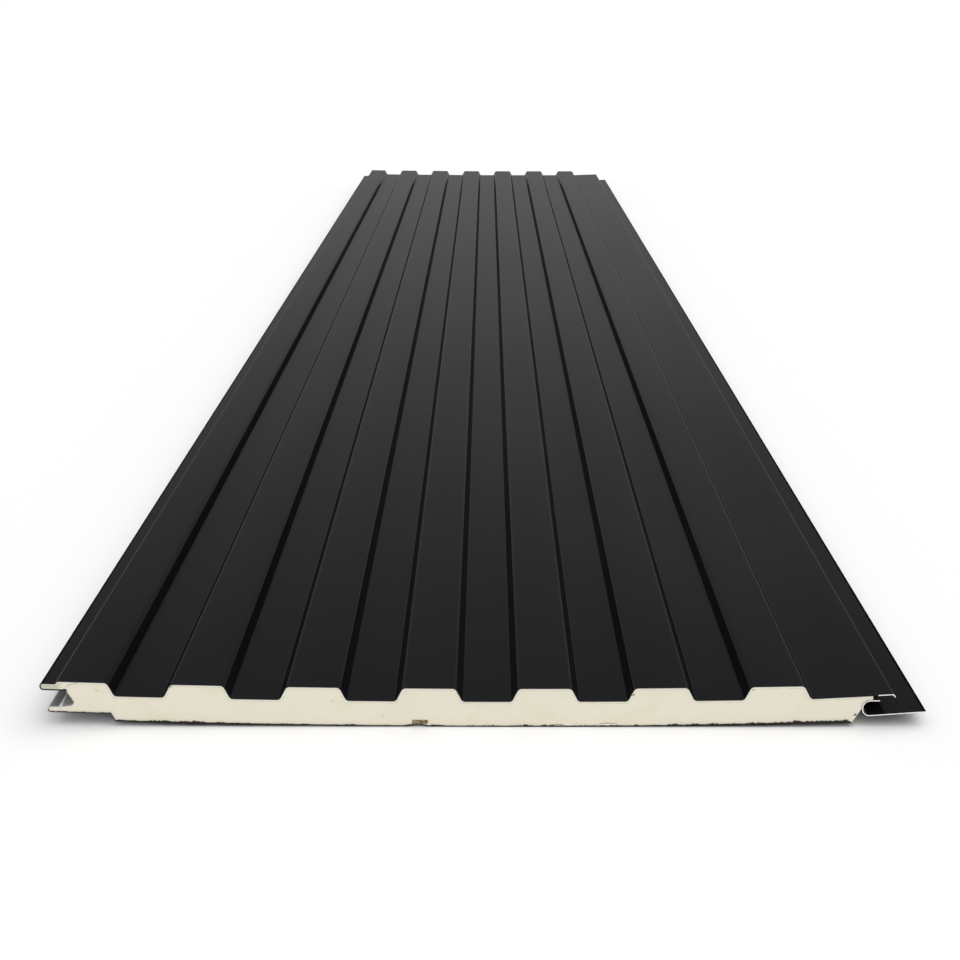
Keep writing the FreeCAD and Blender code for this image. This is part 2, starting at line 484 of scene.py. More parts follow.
@dataclass
class Shell:
    """A thin closed shell on a grid of stations and points, with cells left out by a mask.

    The two sides are grids of the same shape. A side's quads are the cells that the mask
    keeps, and a rim quad joins both sides wherever a kept cell borders one left out.
    """

    outer: Array
    inner: Array
    present: Array | None = None

    def quads(self) -> ShellQuads:
        """Quads of the shell; without a mask, no cell is left out.

        Returns:
            The quads, one side of the shell after another.
        """
        rows, columns = self.outer.shape[:2]
        outer = np.arange(rows * columns).reshape(rows, columns)
        inner = outer + rows * columns
        a, b, c, d = outer[:-1, :-1], outer[:-1, 1:], outer[1:, 1:], outer[1:, :-1]
        e, f, g, h = inner[:-1, :-1], inner[:-1, 1:], inner[1:, 1:], inner[1:, :-1]
        here = np.ones(a.shape, dtype=bool) if self.present is None else self.present
        padded = np.pad(here, 1)
        loops = {
            Side.OUTER: (here, (a, b, c, d)),
            Side.INNER: (here, (e, h, g, f)),
            Side.NEAR: (here & ~padded[:-2, 1:-1], (e, f, b, a)),
            Side.FAR: (here & ~padded[2:, 1:-1], (d, c, g, h)),
            Side.LEFT: (here & ~padded[1:-1, :-2], (a, d, h, e)),
            Side.RIGHT: (here & ~padded[1:-1, 2:], (b, f, g, c)),
        }
        numbers = np.broadcast_to(np.arange(columns - 1), here.shape)
        quads = [np.stack([corner[mask] for corner in loop], axis=1) for mask, loop in loops.values()]
        sides = [np.full(mask.sum(), side) for side, (mask, _) in loops.items()]
        column = [numbers[mask] for mask, _ in loops.values()]
        return ShellQuads(np.concatenate(quads), np.concatenate(sides), np.concatenate(column))

    def points(self) -> Array:
        """Points of both sides, outer first."""
        return np.concatenate([self.outer.reshape(-1, 3), self.inner.reshape(-1, 3)])


def grid_quads(rows: int, columns: int, start: int) -> Array:
    """Quads of a grid of points that are numbered row by row.

    Args:
        rows: Rows of points.
        columns: Points in a row.
        start: Number of the first point.

    Returns:
        Quads, one per cell.
    """
    numbers = np.arange(rows * columns).reshape(rows, columns) + start
    corners = (numbers[:-1, :-1], numbers[:-1, 1:], numbers[1:, 1:], numbers[1:, :-1])
    return np.stack([corner.ravel() for corner in corners], axis=1)


def welded(points: Array, quads: Array) -> tuple[Array, list[list[int]], Array]:
    """Weld points that coincide, and drop what that leaves without width.

    A quad that loses one side becomes a triangle; one that loses more is dropped.

    Args:
        points: Points.
        quads: Quads as point numbers.

    Returns:
        The welded points, the faces and the number of the quad that each came from.
    """
    cells = np.round(points / WELD)
    _, first, numbers = np.unique(cells, axis=0, return_index=True, return_inverse=True)
    corners = numbers.reshape(-1)[quads]
    repeated = corners == np.roll(corners, -1, axis=1)
    lost = repeated.sum(axis=1)
    whole, cut = np.flatnonzero(lost == 0), np.flatnonzero(lost == 1)
    triangles = corners[cut][~repeated[cut]]
    kept_corners = np.concatenate([corners[whole].ravel(), triangles])
    used, renumbered = np.unique(kept_corners, return_inverse=True)
    split = 4 * len(whole)
    faces = renumbered[:split].reshape(-1, 4).tolist() + renumbered[split:].reshape(-1, 3).tolist()
    return points[first[used]], faces, np.concatenate([whole, cut])


def make_piece(
    name: str,
    points: Array,
    quads: Array,
    finishes: Sequence[bpy.types.Material],
    looks: Array | None = None,
    sharp_degrees: float = 35.0,
) -> bpy.types.Object:
    """Make a mesh object, weld its coinciding points, turn its faces outwards and shade it.

    Args:
        name: Name of the piece.
        points: Points in the frame.
        quads: Quads as point numbers.
        finishes: Materials of the piece.
        looks: Number of each quad's finish; without it, all have the first.
        sharp_degrees: Edges that turn more than this stay sharp.

    Returns:
        The piece, at the origin.
    """
    points, faces, kept = welded(points, quads)
    mesh = bpy.data.meshes.new(name)
    mesh.from_pydata(points.tolist(), [], faces)
    for finish in finishes:
        mesh.materials.append(finish)
    if looks is not None:
        mesh.polygons.foreach_set("material_index", looks[kept].astype(np.int32))
    mesh.polygons.foreach_set("use_smooth", np.ones(len(faces), dtype=bool))
    work = bmesh.new()
    work.from_mesh(mesh)
    bmesh.ops.recalc_face_normals(work, faces=work.faces)
    if work.calc_volume(signed=True) < 0:
        bmesh.ops.reverse_faces(work, faces=work.faces)
    work.to_mesh(mesh)
    work.free()
    mesh.set_sharp_from_angle(angle=math.radians(sharp_degrees))
    piece = bpy.data.objects.new(name, mesh)
    bpy.context.scene.collection.objects.link(piece)
    return piece


def settle(piece: bpy.types.Object, node: Node | None = None) -> None:
    """Tie a piece to the frame.

    Args:
        piece: The piece.
        node: CAD node that it stands for, if any.
    """
    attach(piece, BODY)
    if node:
        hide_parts(node.value)
    log.info("%s: %d faces", piece.name, len(piece.data.polygons))


# Finishes


class Graph:
    """A tree of shader nodes, with short ways to add to it."""

    def __init__(self, tree: bpy.types.NodeTree) -> None:
        """Take the tree to add to."""
        self.tree = tree

    def fill(self, node: bpy.types.Node, inputs: Inputs) -> None:
        """Fill inputs of a node.

        Args:
            node: The node.
            inputs: For each input a socket that drives it or a plain value.
        """
        for name, value in inputs.items():
            socket = node.inputs[name]
            if isinstance(value, Socket):
                self.tree.links.new(value, socket)
            else:
                socket.default_value = (*value, 1.0) if socket.type == "RGBA" else value

    def add(self, kind: str, inputs: Inputs, **settings: str) -> bpy.types.Node:
        """Add a node.

        Args:
            kind: Type of the node, without the ShaderNode in front.
            inputs: What goes into it.
            settings: Its own choices, such as the operation of a math node.

        Returns:
            The node.
        """
        node = self.tree.nodes.new(f"ShaderNode{kind}")
        for name, choice in settings.items():
            setattr(node, name, choice)
        self.fill(node, inputs)
        return node

    def math(self, operation: str, first: Socket, second: Socket) -> Socket:
        """Result of an operation on two values."""
        return self.add("Math", {0: first, 1: second}, operation=operation).outputs["Value"]


@dataclass(frozen=True)
class Mottle:
    """Noise turned into a share: grains per metre, octaves, limits of the noise and results."""

    grains: float
    detail: float
    limits: Limits
    shares: Limits = (0.0, 1.0)
    stretch: Factors = (1.0, 1.0, 1.0)


@dataclass(frozen=True)
class Pores:
    """Pores round scattered points: points per metre, limits of the distance and results."""

    per_metre: float
    limits: Limits
    shares: Limits


class SurfaceGraph(Graph):
    """Nodes of a material with one Principled shader, on the object's own coordinates."""

    def __init__(self, name: str) -> None:
        """Start a material.

        Args:
            name: Name of the material.
        """
        self.material = bpy.data.materials.new(name)
        self.material.use_nodes = True
        super().__init__(self.material.node_tree)
        self.place = self.add("TexCoord", {}).outputs["Object"]

    def dressed(self, inputs: Inputs) -> bpy.types.Material:
        """The material, with inputs of its shader filled."""
        self.fill(self.tree.nodes["Principled BSDF"], inputs)
        return self.material

    def noise(self, grains: float, detail: float, stretch: Factors = (1.0, 1.0, 1.0)) -> Socket:
        """Noise over the object.

        Args:
            grains: Grains per metre.
            detail: Finer octaves.
            stretch: Factors on the coordinates.

        Returns:
            The noise, around 0.5.
        """
        spread = self.add("Mapping", {"Vector": self.place, "Scale": stretch}).outputs["Vector"]
        inputs = {"Vector": spread, "Scale": grains, "Detail": detail}
        return self.add("TexNoise", inputs).outputs["Fac"]

    def mottled(self, mottle: Mottle) -> Socket:
        """Share that a mottle gives each place."""
        noise = self.noise(mottle.grains, mottle.detail, mottle.stretch)
        return self.remap(noise, mottle.limits, mottle.shares)

    def pitted(self, pores: Pores) -> Socket:
        """Share that pores give each place."""
        cells = self.add("TexVoronoi", {"Vector": self.place, "Scale": pores.per_metre})
        return self.remap(cells.outputs["Distance"], pores.limits, pores.shares)

    def axis(self, name: str) -> Socket:
        """One of the object's coordinates, X, Y or Z."""
        return self.add("SeparateXYZ", {"Vector": self.place}).outputs[name]

    def attribute(self, name: str) -> Socket:
        """Value that the mesh carries at its points."""
        return self.add("Attribute", {}, attribute_name=name).outputs["Fac"]

    def remap(self, value: Socket, before: Limits, after: Limits = (0.0, 1.0)) -> Socket:
        """Turn a value between two limits into one between two others, smoothly.

        Args:
            value: The value.
            before: Limits of the value.
            after: Results at and past them.

        Returns:
            The new value.
        """
        limits = {"From Min": before[0], "From Max": before[1], "To Min": after[0], "To Max": after[1]}
        node = self.add("MapRange", {"Value": value, **limits}, interpolation_type="SMOOTHSTEP")
        return node.outputs["Result"]

    def mix(self, share: Socket, first: Socket | Colour, second: Colour) -> Socket:
        """Mix two colours by a share of the second.

        Args:
            share: Share of the second colour.
            first: Colour or socket at 0.
            second: Colour at 1.

        Returns:
            The mixed colour.
        """
        first_input, second_input, result = 6, 7, 2
        inputs = {"Factor": share, first_input: first, second_input: second}
        return self.add("Mix", inputs, data_type="RGBA").outputs[result]

    def bump(self, height: Socket, distance: float, strength: float = 1.0) -> Socket:
        """Fine relief of the surface.

        Args:
            height: Height between 0 and 1.
            distance: Height of the relief in metres.
            strength: Share of it that is used.

        Returns:
            The normal.
        """
        inputs = {"Height": height, "Distance": distance, "Strength": strength}
        return self.add("Bump", inputs).outputs["Normal"]


@dataclass(frozen=True)
class SatinPaint:
    """Satin coil paint with a faint orange peel and a trace of dust."""

    name: str = "satin_black_paint"
    colour: Colour = (0.005, 0.005, 0.0062)
    dust: Colour = (0.0072, 0.0072, 0.0086)
    dust_clouds: Mottle = Mottle(9.0, 4.0, (0.42, 0.72), stretch=(1.0, 0.35, 1.0))
    roughness: float = 0.5
    roughness_spread: float = 0.04
    sheen_coat: float = 0.268
    coat_ior: float = 1.18
    coat_roughness: float = 0.15
    peel_grains: float = 650.0
    peel_detail: float = 2.0
    peel_limits: Limits = (0.3, 0.7)
    peel_height: float = 0.02 * MM
    peel_share: float = 0.6

    def material(self) -> bpy.types.Material:
        """Build the material.

        Returns:
            The material.
        """
        graph = SurfaceGraph(self.name)
        peel = graph.noise(self.peel_grains, self.peel_detail)
        roughness = (self.roughness - self.roughness_spread, self.roughness + self.roughness_spread)
        return graph.dressed({
            "Base Color": graph.mix(graph.mottled(self.dust_clouds), self.colour, self.dust),
            "Roughness": graph.remap(peel, self.peel_limits, roughness),
            "Normal": graph.bump(peel, self.peel_height, self.peel_share),
            "Specular IOR Level": 0.0,
            "Coat Weight": self.sheen_coat,
            "Coat IOR": self.coat_ior,
            "Coat Roughness": self.coat_roughness,
        })


@dataclass(frozen=True)
class BareSteel:
    """Bright sheared edge of zinc-coated steel, streaked across its thickness."""

    name: str = "bare_cut_steel"
    bright: Colour = (0.86, 0.86, 0.85)
    dull: Colour = (0.5, 0.5, 0.49)
    streaks: Mottle = Mottle(900.0, 2.0, (0.45, 0.75), stretch=(1.0, 1.0, 0.2))
    roughness: float = 0.34
    streak_roughness: float = 0.15
    metal: float = 0.85

    def material(self) -> bpy.types.Material:
        """Build the material.

        Returns:
            The material.
        """
        graph = SurfaceGraph(self.name)
        streaks = graph.mottled(self.streaks)
        roughness = (self.roughness, self.roughness + self.streak_roughness)
        return graph.dressed({
            "Base Color": graph.mix(streaks, self.bright, self.dull),
            "Roughness": graph.remap(streaks, (0.0, 1.0), roughness),
            "Metallic": self.metal,
        })


@dataclass(frozen=True)
class MottledCoat:
    """Dull surface in two close tones."""

    name: str
    first: Colour
    second: Colour
    grains: float = 400.0
    roughness: float = 0.6
    metal: float = 0.0
    relief: float = 0.02 * MM
    detail: float = 3.0
    tone_limits: Limits = (0.35, 0.65)
    grain_limits: Limits = (0.3, 0.7)
    roughness_spread: float = 0.08
    specular: float = 0.3

    def material(self) -> bpy.types.Material:
        """Build the material.

        Returns:
            The material.
        """
        graph = SurfaceGraph(self.name)
        tone = graph.noise(self.grains, self.detail)
        roughness = (self.roughness - self.roughness_spread, self.roughness + self.roughness_spread)
        return graph.dressed({
            "Base Color": graph.mix(graph.remap(tone, self.tone_limits), self.first, self.second),
            "Roughness": graph.remap(tone, self.grain_limits, roughness),
            "Normal": graph.bump(tone, self.relief),
            "Metallic": self.metal,
            "Specular IOR Level": self.specular,
        })


@dataclass(frozen=True)
class RigidFoam:
    """Cream rigid foam with pores and soft tone patches, and painted light and shade under the sheet.
    """

    name: str = "rigid_foam"
    cream: Colour = (0.80, 0.757, 0.628)
    olive: Colour = (0.75, 0.73, 0.565)
    olive_patches: Mottle = Mottle(70.0, 3.0, (0.5, 0.72), (0.0, 0.8))
    pink: Colour = (0.80, 0.735, 0.625)
    pink_blush: Mottle = Mottle(48.0, 2.0, (0.55, 0.75), (0.0, 0.6))
    pore: Colour = (0.55, 0.51, 0.38)
    small_pores: Pores = Pores(430.0, (0.06, 0.2), (0.28, 0.0))
    large_pores: Pores = Pores(105.0, (0.03, 0.13), (0.5, 0.0))
    # Painted reflection: a pale band on the foam just under the sheet stands in for the sheet's cut
    # edge catching the white surroundings.
    edge_reflection: Colour = (0.85, 0.825, 0.725)
    reflection_depth: float = 0.85 * MM
    reflection_fade: float = 0.15 * MM
    reflection_on_lip: float = 0.4
    # Painted shade: a faint grey line along the lower edge of that band.
    shade_line: Colour = (0.55, 0.53, 0.45)
    shade_line_width: float = 0.22 * MM
    line_breaks: Mottle = Mottle(160.0, 2.0, (0.4, 0.6), (0.05, 0.5))
    lip: Colour = (0.55, 0.55, 0.42)
    lip_tint: float = 0.9
    lip_start: float = -195.0 * MM
    lip_full: float = -199.0 * MM
    lip_floor: float = 14.0 * MM
    lip_fade: float = 1.0 * MM
    grains: float = 1600.0
    detail: float = 3.0
    relief: float = 0.06 * MM
    relief_share: float = 0.6
    roughness: float = 0.95
    specular: float = 0.15

    def material(self) -> bpy.types.Material:
        """Build the material: porous foam, the painted shade line, the lip's tint and the painted
        reflection band.

        Returns:
            The material.
        """
        graph = SurfaceGraph(self.name)
        depth = graph.attribute(DEPTH)
        # Painted shade: a grey line just below the painted reflection band.
        line_end = self.reflection_depth + self.shade_line_width
        past = graph.remap(depth, (line_end, line_end + self.shade_line_width), (1.0, 0.0))
        on_line = graph.math("MULTIPLY", past, graph.mottled(self.line_breaks))
        lined = graph.mix(on_line, self._porous(graph), self.shade_line)
        tint = graph.remap(graph.axis("X"), (self.lip_full, self.lip_start), (self.lip_tint, 0.0))
        above_groove = graph.remap(graph.axis("Z"), (self.lip_floor, self.lip_floor + self.lip_fade))
        tinted = graph.mix(graph.math("MULTIPLY", tint, above_groove), lined, self.lip)
        # Painted reflection band just under the sheet, weaker on the lip.
        in_reflection = graph.remap(depth, (self.reflection_depth - self.reflection_fade, self.reflection_depth), (1.0, 0.0))
        reflection_left = graph.remap(tint, (0.0, 1.0), (1.0, self.reflection_on_lip))
        return graph.dressed({
            "Base Color": graph.mix(graph.math("MULTIPLY", in_reflection, reflection_left), tinted, self.edge_reflection),
            "Normal": graph.bump(graph.noise(self.grains, self.detail), self.relief, self.relief_share),
            "Roughness": self.roughness,
            "Specular IOR Level": self.specular,
        })

    def _porous(self, graph: SurfaceGraph) -> Socket:
        """Colour of the foam inside: cream with olive and pink patches, and pores of two sizes.

        Args:
            graph: Graph of the material.

        Returns:
            The colour.
        """
        patched = graph.mix(graph.mottled(self.olive_patches), self.cream, self.olive)
        blushed = graph.mix(graph.mottled(self.pink_blush), patched, self.pink)
        fine = graph.mix(graph.pitted(self.small_pores), blushed, self.pore)
        return graph.mix(graph.pitted(self.large_pores), fine, self.pore)


# Sub-assemblies


@dataclass
class Layer:
    """A layer of the panel, from its near end to its far one."""

    section: PanelSection
    near: float
    far: float

    def eased(self, points: Array) -> Array:
        """Let the bow ease evenly towards the far end, where the panel lies flatter.

        A point drops by the eased part of the bow times its share of the length, and times
        the square of its share of the half span, less that of the flat middle facet.

        Args:
            points: Points in the frame.

        Returns:
            The dropped points.
        """
        sizes, half_span = self.section.sizes, self.section.half_span
        across = (points[:, 0] - self.section.offset[0]) / half_span
        middle = sizes.rib_pitch / 2 / half_span
        share = (points[:, 1] - self.near) / (self.far - self.near)
        dropped = points.copy()
        eased_bow = (sizes.edge_bow - sizes.far_bow) * share
        dropped[:, 2] -= eased_bow * np.clip(across**2 - middle**2, 0.0, None)
        return dropped


@dataclass
class FaceSheet(Layer):
    """The folded steel sheet: the section's outer and inner lines carried along the panel."""

    fray_back: float = 0.3 * MM
    fray_up: float = 0.2 * MM
    fray_seed: int = 31

    def build(self) -> None:
        """Build the sheet, with its fold cut back at the near end and its lip at the far one.

        Both sides are the section's line at four stations, with the cells of the cuts left out.
        """
        sizes = self.section.sizes
        outer, inner = self.section.sheet_lines()
        cuts = [self.near + sizes.fold_cutback, self.far - sizes.lip_notch]
        stations = np.array([self.near, *cuts, self.far])[:, None]
        shell = Shell(
            set_along(outer.points, stations),
            set_along(inner.points, stations),
            self._present(outer, len(stations)),
        )
        self._fray(shell, outer.point_names() == "fray")
        quads = shell.quads()
        looks = self._looks(outer, quads)
        points = self.eased(shell.points())
        piece = make_piece("painted_face", points, quads.corners, self.dress(), looks)
        settle(piece, Node.FACE_SHEET)

    def _present(self, line: Line, stations: int) -> Array:
        """Choose the cells of the sheet that aren't cut away.

        Args:
            line: Line of the painted side.
            stations: Number of stations along the panel.

        Returns:
            A mask of the cells.
        """
        present = np.ones((stations - 1, len(line.owners) - 1), dtype=bool)
        present[0, line.places("nose")[-1] : line.places("fold end")[0]] = False
        present[-1, : line.places("step top")[-1]] = False
        return present

    def _fray(self, shell: Shell, frayed: Array) -> None:
        """Shift the near points of the fold's cut end at random, as the shears left them.

        Args:
            shell: The sheet's shell.
            frayed: Mask of the line's points to shift.
        """
        shifts = np.random.default_rng(self.fray_seed).uniform(-1.0, 1.0, (frayed.sum(), 2))
        for side in (shell.outer, shell.inner):
            side[0, frayed, 1] += self.fray_back * np.abs(shifts[:, 0])
            side[0, frayed, 2] += self.fray_up * shifts[:, 1]

    def _looks(self, line: Line, quads: ShellQuads) -> Array:
        """Choose the finish of each quad.

        Args:
            line: Line of the painted side.
            quads: Quads of the sheet.

        Returns:
            A SheetLook for each quad.
        """
        owner = line.owners[quads.columns]
        in_bend = owner == line.owners[quads.columns + 1]
        names = line.point_names()[quads.columns]
        outside = quads.sides == Side.OUTER
        flange_edge = names == "flange border"
        # Where the painted shade goes: the lip's bends and the flange border.
        dull = flange_edge | (in_bend & np.isin(names, ("lip under", "lip nose")))
        cut = np.isin(quads.sides, (Side.NEAR, Side.FAR))
        free = owner >= line.number("bright edge")
        choices = {
            # Painted highlight: lighter paint along the step's top bend.
            SheetLook.RUBBED_PAINT: outside & in_bend & (names == "step top"),
            # Painted shade: dark outlines on the lip's bends and the flange border.
            SheetLook.DULL_PAINT: outside & dull,
            SheetLook.PAINT: outside,
            SheetLook.BACK_COAT: quads.sides == Side.INNER,
            SheetLook.DARK_EDGE: (cut & ~free) | (flange_edge & ~cut),
        }
        return np.select(list(choices.values()), list(choices), SheetLook.BARE_EDGE)

    def dress(self) -> list[bpy.types.Material]:
        """Make the sheet's finishes.

        Returns:
            Materials in the order of SheetLook.
        """
        dark_cut = (0.0015, 0.0014, 0.0012), (0.005, 0.0045, 0.004)
        # Lighter paint for the painted highlight on the step's top bend.
        step_highlight = (0.035, 0.035, 0.036), (0.06, 0.06, 0.061)
        # Darker paint with little coat for the painted shade on the lip's bends and flange border.
        edge_shade = (0.0014, 0.0014, 0.0019), (0.0032, 0.0032, 0.0039)
        finishes = (
            SatinPaint(),
            MottledCoat("back_coat", (0.03, 0.03, 0.03), (0.05, 0.05, 0.048)),
            MottledCoat("dark_cut_edge", *dark_cut, grains=1500.0, roughness=0.8),
            BareSteel(),
            SatinPaint("rubbed_paint", *step_highlight),
            SatinPaint("dull_paint", *edge_shade, sheen_coat=0.04),
        )
        return [finish.material() for finish in finishes]


@dataclass(frozen=True)
class LiftedArch:
    """Where the liner's near edge has come off the foam and stands up in a low arch."""

    middle: float = -30.8 * MM
    half_width: float = 5.2 * MM
    height: float = 0.65 * MM
    edge_height: float = 0.35 * MM
    reach: float = 12.0 * MM

    def lift(self, x: Array) -> Array:
        """How far the edge is lifted: a parabola over the arch's width, 0 elsewhere."""
        return self.height * np.clip(1 - ((x - self.middle) / self.half_width) ** 2, 0.0, 1.0)


@dataclass
class BackLiner(Layer):
    """The foil liner, its torn near edge over painted shadow and the hem along its groove."""

    arch: LiftedArch
    step: float = 0.25 * MM
    margin: float = 0.5 * MM
    edge_thickness: float = 0.25 * MM
    edge_rows: int = 4
    edge_waves: float = 0.02 * MM
    edge_waver: Ragged = Ragged(1.3 * MM, 61)
    burr_middle: float = 0.05 * MM
    burr_left: float = 0.2 * MM
    burr_right: float = 1.4 * MM
    burr_half_width: float = 165.0 * MM
    burr_least: float = 0.6
    burr_spread: float = 0.7
    burr_waver: Ragged = Ragged(1.4 * MM, 47)
    tooth: float = 0.95 * MM
    tooth_power: float = 1.25
    fine_teeth: Ragged = Ragged(0.8 * MM, 41)
    coarse_teeth: Ragged = Ragged(3.1 * MM, 43)
    lip_tooth: float = 0.42 * MM
    lip_teeth: Ragged = Ragged(1.1 * MM, 53)
    toe_taper: float = 2.8 * MM
    # The shadow fields set the strip of painted shadow below the liner's torn edge, in the gap over the
    # floor.
    shadow_left: float = 0.8
    shadow_right: float = 0.15
    shadow_fade: float = 40.0 * MM
    recess_fade: float = 35.0 * MM
    shadow_least: float = 0.75
    shadow_spread: float = 0.35
    shadow_most: float = 0.95
    shadow_waver: Ragged = Ragged(3.1 * MM, 59)
    hem_half_width: float = 0.75 * MM
    hem_height: float = 0.5 * MM
    hem_points: int = 13
    sharp_degrees: float = 30.0

    def build(self) -> None:
        """Build the liner, its torn edge and its hem."""
        lines = self.section.liner_lines()
        outer, inner = self._refined(lines)
        self._sheet(outer, inner)
        self._torn_edge(outer.points[outer.owners < outer.number("lower lip")])
        self._hem(lines[0].points[lines[0].places("crease")].mean(axis=0))

    def _refined(self, lines: tuple[Line, Line]) -> list[Line]:
        """Lines with points no further apart than the step, in pairs across the liner.

        Args:
            lines: Outer and inner line.

        Returns:
            Both lines, with a point at every old one and at even steps along the outer one.
        """
        distance = walked(lines[0].points)
        numbers = np.arange(len(distance))
        even = np.arange(0.0, distance[-1], self.step)
        wanted = np.interp(np.union1d(distance, even), distance, numbers)
        owners = lines[0].owners[np.floor(wanted).astype(int)]
        return [Line(along(line.points, wanted, numbers), owners, line.names) for line in lines]

    def _sheet(self, outer: Line, inner: Line) -> None:
        """Build the liner itself: both lines carried along the panel, lifted at the arch.

        Args:
            outer: Line of the outer side.
            inner: Line of the inner side.
        """
        stations = (self.near + self.edge_thickness, self.near + self.arch.reach, self.far)
        shell = Shell(self._lifted(outer.points, stations), self._lifted(inner.points, stations))
        quads = shell.quads()
        owner = outer.owners[quads.columns]
        round_lip = (quads.sides == Side.NEAR) & (owner >= outer.number("lower lip"))
        choices = {
            LinerLook.CUT_EDGE: round_lip,
            LinerLook.PAPER: quads.sides == Side.INNER,
            # Painted light: the foil beyond the crease gets a lighter copy of the foil's tone.
            LinerLook.GROOVE_BACK: owner >= outer.number("crease"),
        }
        looks = np.select(list(choices.values()), list(choices), LinerLook.FOIL)
        points = self.eased(shell.points())
        finishes = self.dress()
        piece = make_piece("foil_back", points, quads.corners, finishes, looks, self.sharp_degrees)
        settle(piece, Node.BACK_LINER)

    def _lifted(self, line: Array, stations: Sequence[float]) -> Array:
        """Grid of a line at each station, lifted by the arch at the first.

        Args:
            line: Points of the line.
            stations: Stations along the panel.

        Returns:
            The grid.
        """
        grid = set_along(line, np.array(stations)[:, None])
        on_floor = line[:, 1] < self.section.sizes.liner + self.margin
        grid[0, :, 2] += self.arch.lift(line[:, 0]) * on_floor
        return grid

    def _torn_edge(self, line: Array) -> None:
        """Build the ragged edge in front of the sawn foam.

        Each column runs straight up from the lower edge to the torn upper one. Below the liner the
        strip is painted shadow in the gap over the floor, and its near-black tone is partly the
        liner's own dark edge and partly painted shade.

        Args:
            line: Points of the liner's outer side, on the back and under the lower lip.
        """
        x, z = line[:, 0], line[:, 1]
        lip_level = self.section.lower_lip_under - self.margin
        on_lip = z - self.section.offset[1] > lip_level
        # The drop below the liner is painted shadow in the gap over the floor.
        up, shadow_drop = self._stand(x, on_lip), self._painted_shadow(x, z, on_lip)
        share = np.linspace(0.0, 1.0, self.edge_rows)[:, None]
        height = self.section.sizes.liner / 2 + up + shadow_drop
        front = self.near + self.edge_waves * self.edge_waver.heights(x)
        outer = placed(x, front, z - shadow_drop + self.arch.lift(x) + height * share)[:, ::-1]
        inner = outer.copy()
        inner[..., 1] = self.near + self.edge_thickness
        shell = Shell(outer, inner)
        # Near-black: the liner's own dark edge with painted shade, and painted shadow below it.
        tones = (0.004, 0.0035, 0.003), (0.03, 0.027, 0.021)
        torn = MottledCoat("torn_liner", *tones, grains=700.0, roughness=0.9)
        quads = shell.quads().corners
        settle(make_piece("torn_liner_edge", shell.points(), quads, [torn.material()]))

    def _stand(self, x: Array, on_lip: Array) -> Array:
        """How far the torn edge stands up.

        A burr grows from the middle with the square of the distance on the left and its fourth
        power on the right. Teeth, the product of two sets of random heights, are added to it.
        Low teeth take its place under the lip, and it tapers off to nothing at the toe.

        Args:
            x: Places across the panel.
            on_lip: Mask of those under the lower lip.

        Returns:
            The height at each place.
        """
        outwards = np.clip(np.abs(x) / self.burr_half_width, 0.0, 1.0) ** 2
        grown = np.where(x > 0, self.burr_right * outwards**2, self.burr_left * outwards)
        waver = self.burr_least + self.burr_spread * self.burr_waver.heights(x)
        teeth = (self.fine_teeth.heights(x) * self.coarse_teeth.heights(x)) ** self.tooth_power
        up = (self.burr_middle + grown) * waver + self.tooth * teeth
        up = np.where(on_lip, self.lip_tooth * self.lip_teeth.heights(x), up)
        up *= np.clip((x.max() - x) / self.toe_taper, 0.0, 1.0)
        return np.where(self.arch.lift(x) > 0, self.arch.edge_height, up)

    def _painted_shadow(self, x: Array, z: Array, on_lip: Array) -> Array:
        """How far the strip of painted shadow reaches down under the liner where the back is raised.

        It is a dark strip put in the gap over the floor, where only shade falls. It reaches down by a
        share of the back's height, which fades out at the toe and at the recess and is made uneven
        by random heights.

        Args:
            x: Places across the panel.
            z: Height of the back there.
            on_lip: Mask of those under the lower lip, where no shadow strip is put.

        Returns:
            The drop at each place.
        """
        at_toe = np.clip((x.max() - x) / self.shadow_fade, 0.0, 1.0)
        at_recess = np.clip((x - x[~on_lip].min()) / self.recess_fade, 0.0, 1.0)
        shadow = np.where(x > 0, self.shadow_right * at_toe, self.shadow_left * at_recess)
        shadow *= self.shadow_least + self.shadow_spread * self.shadow_waver.heights(x)
        return np.where(on_lip, 0.0, z * np.minimum(shadow, self.shadow_most))

    def _hem(self, middle: Array) -> None:
        """Build the hem along the crease in the groove; its bright tone is a painted highlight.

        Its section is half an ellipse, carried along the panel.

        Args:
            middle: Middle of the ellipse.
        """
        turn = np.linspace(math.pi, 0.0, self.hem_points)
        ends = np.array([[self.near + self.edge_thickness], [self.far]])
        x = middle[0] + self.hem_half_width * np.cos(turn)
        top = placed(x, ends, middle[1] + self.hem_height * np.sin(turn))
        shell = Shell(top, placed(x, ends, middle[1]))
        # Bright tone: a painted highlight on the fold of the hem.
        tones = (0.75, 0.75, 0.75), (0.92, 0.92, 0.91)
        hem_highlight_coat = MottledCoat("worn_hem", *tones, grains=500.0, roughness=0.5, metal=0.1)
        points = self.eased(shell.points())
        piece = make_piece("groove_hem", points, shell.quads().corners, [hem_highlight_coat.material()])
        settle(piece)

    def dress(self) -> list[bpy.types.Material]:
        """Make the liner's finishes.

        Returns:
            Materials in the order of LinerLook.
        """
        foil = (0.19, 0.19, 0.2), (0.25, 0.25, 0.26)
        # Lighter tones of the same foil, painted light inside the groove.
        groove = (0.24, 0.24, 0.23), (0.42, 0.41, 0.39)
        finishes = (
            MottledCoat("dull_foil", *foil, grains=90.0, roughness=0.5, metal=0.35, relief=0.05 * MM),
            MottledCoat("kraft_side", (0.2, 0.14, 0.07), (0.3, 0.22, 0.12)),
            MottledCoat("groove_foil", *groove, grains=420.0, metal=0.2, relief=0.08 * MM),
            MottledCoat("foil_cut", (0.3, 0.3, 0.29), (0.5, 0.5, 0.48), grains=800.0),
        )
        return [finish.material() for finish in finishes]


class FoamLines(NamedTuple):
    """Lines round the foam's section; all but the pocket's run away from the groove edge."""

    top: Array
    bottom: Array
    floor: Array
    wall: Array
    roof: Array
    pocket: Array


